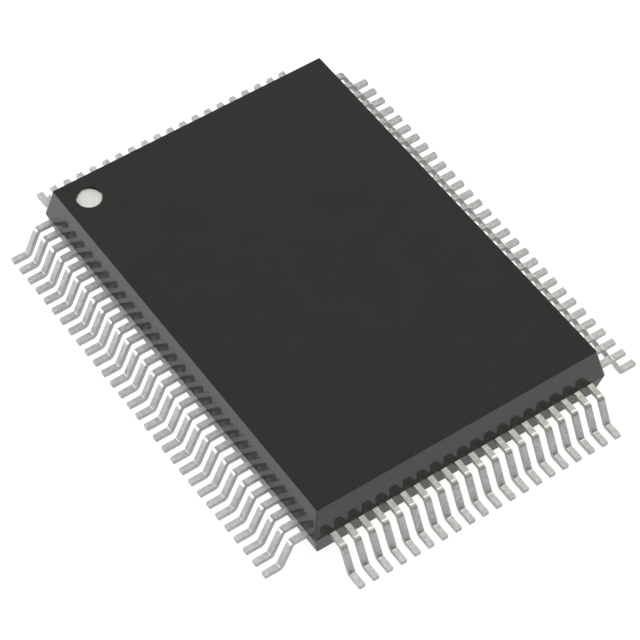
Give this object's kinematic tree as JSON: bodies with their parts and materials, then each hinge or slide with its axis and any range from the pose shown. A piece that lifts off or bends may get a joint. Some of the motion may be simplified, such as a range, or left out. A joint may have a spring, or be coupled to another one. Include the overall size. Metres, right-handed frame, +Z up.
{
  "type": "quad flat pack chip",
  "caption": "Rectangular plastic chip package with gull-wing leads along all four sides, a pale mark by its first lead, and die, wires and lead frame inside.",
  "frame": {"origin": "centre of the plan on the seating plane, under the feet", "axes": "+X across the body, +Y along it, +Z up; lead 1 and the mark are at the -X, +Y corner"},
  "size_m": [0.018, 0.024, 0.0028],
  "materials": {
    "mould_compound": "fine matte top, smoother sides",
    "mark_ink": "matte pale disc",
    "tinned_lead": "satin tin plate",
    "frame_copper": "bare stamped copper alloy",
    "silicon": "polished",
    "attach_epoxy": "silver-filled paste, cured",
    "bond_wire": "drawn gold wire"
  },
  "bodies": {
    "root": {"mould_body": "mould_compound", "lead_one_mark": "mark_ink", "die": "silicon", "die_attach": "attach_epoxy", "die_paddle": "frame_copper", "leads_001_005": "tinned_lead", "leads_006_010": "tinned_lead", "leads_011_015": "tinned_lead", "leads_016_020": "tinned_lead", "leads_021_025": "tinned_lead", "leads_026_030": "tinned_lead", "leads_031_035": "tinned_lead", "leads_036_040": "tinned_lead", "leads_041_045": "tinned_lead", "leads_046_050": "tinned_lead", "leads_051_055": "tinned_lead", "leads_056_060": "tinned_lead", "leads_061_065": "tinned_lead", "leads_066_070": "tinned_lead", "leads_071_075": "tinned_lead", "leads_076_080": "tinned_lead", "leads_081_085": "tinned_lead", "leads_086_090": "tinned_lead", "leads_091_095": "tinned_lead", "leads_096_100": "tinned_lead", "wires_001_005": "bond_wire", "wires_006_010": "bond_wire", "wires_011_015": "bond_wire", "wires_016_020": "bond_wire", "wires_021_025": "bond_wire", "wires_026_030": "bond_wire", "wires_031_035": "bond_wire", "wires_036_040": "bond_wire", "wires_041_045": "bond_wire", "wires_046_050": "bond_wire", "wires_051_055": "bond_wire", "wires_056_060": "bond_wire", "wires_061_065": "bond_wire", "wires_066_070": "bond_wire", "wires_071_075": "bond_wire", "wires_076_080": "bond_wire", "wires_081_085": "bond_wire", "wires_086_090": "bond_wire", "wires_091_095": "bond_wire", "wires_096_100": "bond_wire"}
  },
  "joints": []
}
